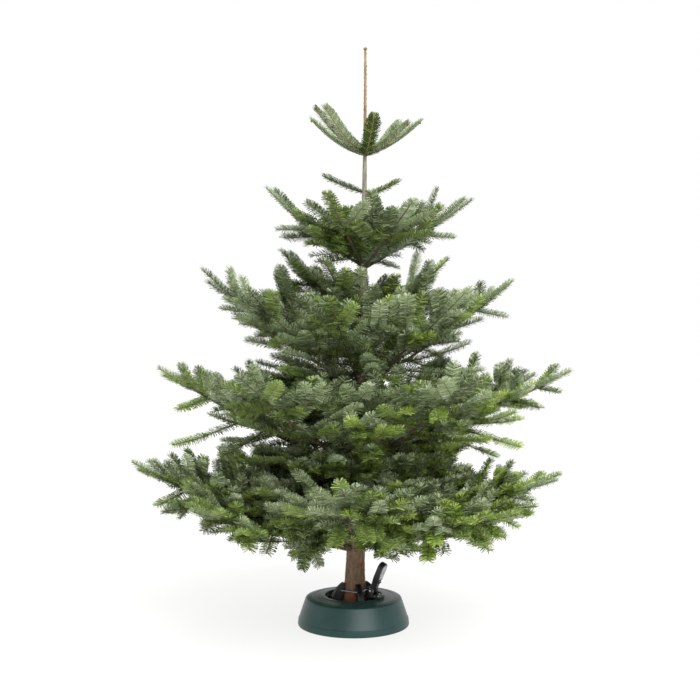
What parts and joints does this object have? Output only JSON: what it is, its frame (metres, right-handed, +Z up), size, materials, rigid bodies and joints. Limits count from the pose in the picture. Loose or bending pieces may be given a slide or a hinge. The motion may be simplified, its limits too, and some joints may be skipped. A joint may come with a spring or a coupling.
{
  "type": "christmas tree",
  "caption": "Cut fir Christmas tree with tiers of upswept needled boughs, a bare leader and a trunk clamped in a round moulded water stand with a foot lever.",
  "frame": {"origin": "centre of the stand's flat underside, on the floor", "axes": "+Z up the trunk to the tip of the leader, -Y towards the front of the tree, +X to its right, the foot lever standing at the right of the front"},
  "size_m": [1.4111, 1.2335, 1.846],
  "materials": {
    "shell": "satin",
    "black_plastic": "satin",
    "cable": "satin",
    "bark": "matte",
    "foliage": "matte"
  },
  "bodies": {
    "tree": {"inner_mass_2": "foliage", "inner_mass_3": "foliage", "inner_mass_4": "foliage", "odd_shoot_1": "foliage", "odd_shoot_2": "foliage", "stand_bowl": "black_plastic", "stand_cable": "cable", "stand_jaw_1": "black_plastic", "stand_jaw_2": "black_plastic", "stand_jaw_3": "black_plastic", "stand_jaw_4": "black_plastic", "stand_shell": "shell", "stand_winder": "black_plastic", "tier2_spray_1": "foliage", "tier2_spray_2": "foliage", "tier2_spray_3": "foliage", "tier2_spray_4": "foliage", "tier2_spray_5": "foliage", "tier3_spray_1": "foliage", "tier3_spray_2": "foliage", "tier3_spray_3": "foliage", "tier3_spray_4": "foliage", "tier3_spray_5": "foliage", "tier3_spray_6": "foliage", "tier3_spray_7": "foliage", "tier4_bough_1": "bark", "tier4_bough_2": "bark", "tier4_bough_3": "bark", "tier4_bough_4": "bark", "tier4_bough_5": "bark", "tier4_bough_6": "bark", "tier4_spray_1": "foliage", "tier4_spray_2": "foliage", "tier4_spray_3": "foliage", "tier4_spray_4": "foliage", "tier4_spray_5": "foliage", "tier4_spray_6": "foliage", "tier5_bough_1": "bark", "tier5_bough_2": "bark", "tier5_bough_3": "bark", "tier5_bough_4": "bark", "tier5_bough_5": "bark", "tier5_bough_6": "bark", "tier5_bough_7": "bark", "tier5_spray_1": "foliage", "tier5_spray_2": "foliage", "tier5_spray_3": "foliage", "tier5_spray_4": "foliage", "tier5_spray_5": "foliage", "tier5_spray_6": "foliage", "tier5_spray_7": "foliage", "top_shoot_1": "foliage", "top_shoot_2": "foliage", "top_shoot_3": "foliage", "top_shoot_4": "foliage", "top_shoot_5": "foliage", "top_shoot_6": "foliage", "top_shoot_7": "foliage", "trunk": "bark"},
    "lever": {"stand_lever": "black_plastic"}
  },
  "joints": [
    {"name": "lever_hinge", "type": "hinge", "parent": "tree", "child": "lever", "pos_m": [0.06149, -0.0355, 0.114], "axis": [0.5, 0.866, 0], "range_deg": [0, 60], "stiffness_Nm_per_rad": 2, "springref_deg": -2.86}
  ]
}
